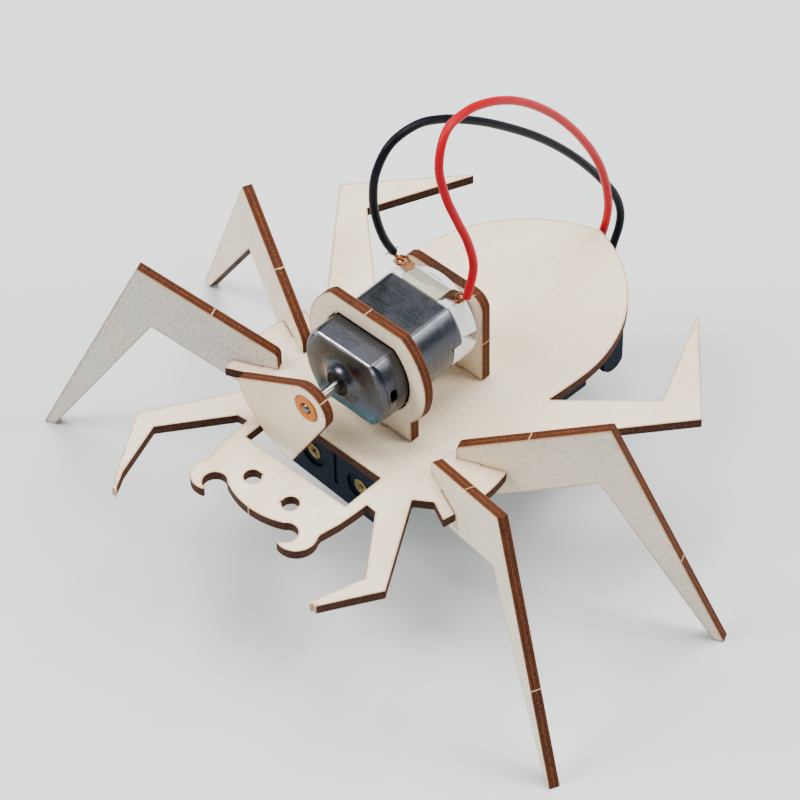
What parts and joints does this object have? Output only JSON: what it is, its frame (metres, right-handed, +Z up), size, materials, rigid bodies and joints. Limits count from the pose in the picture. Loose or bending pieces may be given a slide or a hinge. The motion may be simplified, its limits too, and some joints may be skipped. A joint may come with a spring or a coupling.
{
  "type": "walking_toy_kit",
  "caption": "plywood spider robot kit driven by a small motor that spins an eccentric weight, with a battery holder slung underneath",
  "frame": {"origin": "centre of the plywood's footprint, on the surface that the feet stand on", "axes": "+X towards the spider's left, +Y towards the tail and along the motor shaft, +Z up"},
  "size_m": [0.134, 0.1143, 0.0905],
  "materials": {
    "plywood": "matte",
    "motor_steel": "satin",
    "shaft_steel": "satin",
    "core_steel": "satin",
    "cap_plastic": "gloss",
    "brass": "satin",
    "magnet": "matte",
    "copper": "satin",
    "orange_plastic": "gloss",
    "holder_plastic": "satin",
    "foam": "matte",
    "cell_sleeve": "gloss",
    "red_insulation": "satin",
    "black_insulation": "satin"
  },
  "bodies": {
    "chassis": {"body_plate": "plywood", "leg_front_left": "plywood", "leg_front_right": "plywood", "leg_middle_left": "plywood", "leg_middle_right": "plywood", "front_motor_bracket": "plywood", "rear_motor_bracket": "plywood", "motor_can": "motor_steel", "front_spring": "shaft_steel", "rear_spring": "shaft_steel", "motor_end_cap": "cap_plastic", "front_bearing": "brass", "rear_bearing": "brass", "front_rivet_left": "brass", "front_rivet_right": "brass", "front_contact_link": "brass", "rear_contact_left": "brass", "rear_contact_right": "brass", "magnet_left": "magnet", "magnet_right": "magnet", "terminal_left": "copper", "terminal_right": "copper", "brush_left": "copper", "brush_right": "copper", "red_wire_strands": "copper", "black_wire_strands": "copper", "battery_holder": "holder_plastic", "foam_tape": "foam", "battery_left": "cell_sleeve", "battery_right": "cell_sleeve", "red_wire": "red_insulation", "black_wire": "black_insulation"},
    "rotor": {"motor_shaft": "shaft_steel", "rotor_core": "core_steel", "winding_1": "copper", "winding_2": "copper", "winding_3": "copper", "commutator": "copper", "shaft_bushing": "orange_plastic", "eccentric_weight": "plywood"}
  },
  "joints": [
    {"name": "motor_spin", "type": "hinge", "parent": "chassis", "child": "rotor", "pos_m": [0.00165, -0.0231, 0.04455], "axis": [0, 1, 0], "continuous": true}
  ]
}
